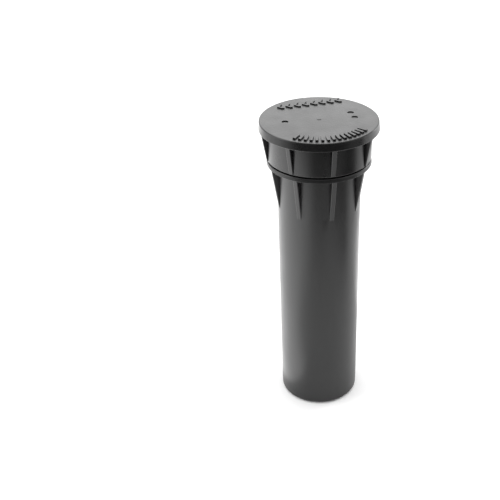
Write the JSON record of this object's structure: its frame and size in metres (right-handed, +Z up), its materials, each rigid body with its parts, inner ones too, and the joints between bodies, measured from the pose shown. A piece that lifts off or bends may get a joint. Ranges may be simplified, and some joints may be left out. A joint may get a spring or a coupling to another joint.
{
  "type": "pop-up sprinkler",
  "caption": "Buried pop-up lawn sprinkler: ribbed tube case with a screwed-on blanking cap over a spring-retracted riser, adjustable nozzle and check valve.",
  "frame": {"origin": "centre of the base, on the tube's axis", "axes": "+Z up along the tube's axis; -Y towards the cap's arc of raised bars"},
  "size_m": [0.0582, 0.0582, 0.159],
  "materials": {
    "case_plastic": "satin moulded black",
    "cap_plastic": "fine-grained satin moulded black",
    "riser_plastic": "smooth satin black",
    "ring_plastic": "smooth natural acetal grey",
    "ratchet_plastic": "smooth dark grey",
    "seal_rubber": "matt black rubber",
    "filter_plastic": "smooth grey",
    "nozzle_plastic": "smooth black",
    "collar_plastic": "smooth dark green",
    "stainless": "drawn stainless wire and screw"
  },
  "bodies": {
    "case": {"case": "case_plastic", "seal_carrier": "ratchet_plastic", "carrier_o_ring": "seal_rubber", "wiper_lip": "seal_rubber", "upper_spring_seat": "ring_plastic", "retraction_spring": "stainless"},
    "cap_seal": {"cap_seal_ring": "seal_rubber"},
    "cap": {"blanking_cap": "cap_plastic"},
    "guide": {"guide_ring": "ring_plastic"},
    "riser": {"riser_stem": "riser_plastic", "ratchet_gear": "ratchet_plastic", "check_valve_plug": "ratchet_plastic", "check_valve_seal": "seal_rubber", "filter_basket": "filter_plastic", "filter_screen": "filter_plastic", "nozzle_base": "nozzle_plastic", "collar_o_ring": "seal_rubber", "deflector": "nozzle_plastic"},
    "arc_collar": {"arc_collar": "collar_plastic"},
    "radius_screw": {"radius_screw": "stainless"}
  },
  "joints": [
    {"name": "cap_lift", "type": "slide", "parent": "case", "child": "cap_seal", "axis": [0, 0, 1], "range_m": [0, 0.128]},
    {"name": "cap_turn", "type": "hinge", "parent": "cap_seal", "child": "cap", "pos_m": [0, 0, 0.1395], "axis": [0, 0, 1], "range_deg": [0, 5761]},
    {"name": "riser_lift", "type": "slide", "parent": "case", "child": "guide", "axis": [0, 0, 1], "range_m": [0, 0.1001], "stiffness_N_per_m": 300, "springref_m": -0.033, "deforming": ["retraction_spring"]},
    {"name": "riser_turn", "type": "hinge", "parent": "guide", "child": "riser", "pos_m": [0, 0, 0.0205], "axis": [0, 0, 1], "continuous": true},
    {"name": "arc_collar_turn", "type": "hinge", "parent": "riser", "child": "arc_collar", "pos_m": [0, 0, 0.1499], "axis": [0, 0, 1], "range_deg": [-160, 160]},
    {"name": "radius_screw_turn", "type": "hinge", "parent": "riser", "child": "radius_screw", "pos_m": [0, 0, 0.1536], "axis": [0, 0, 1], "range_deg": [0, 1440]}
  ],
  "couplings": [
    {"joint": "cap_turn", "follows": "cap_lift", "rad_per_m": 785.4},
    {"joint": "riser_lift", "follows": "cap_lift", "ratio": 0.78203}
  ]
}
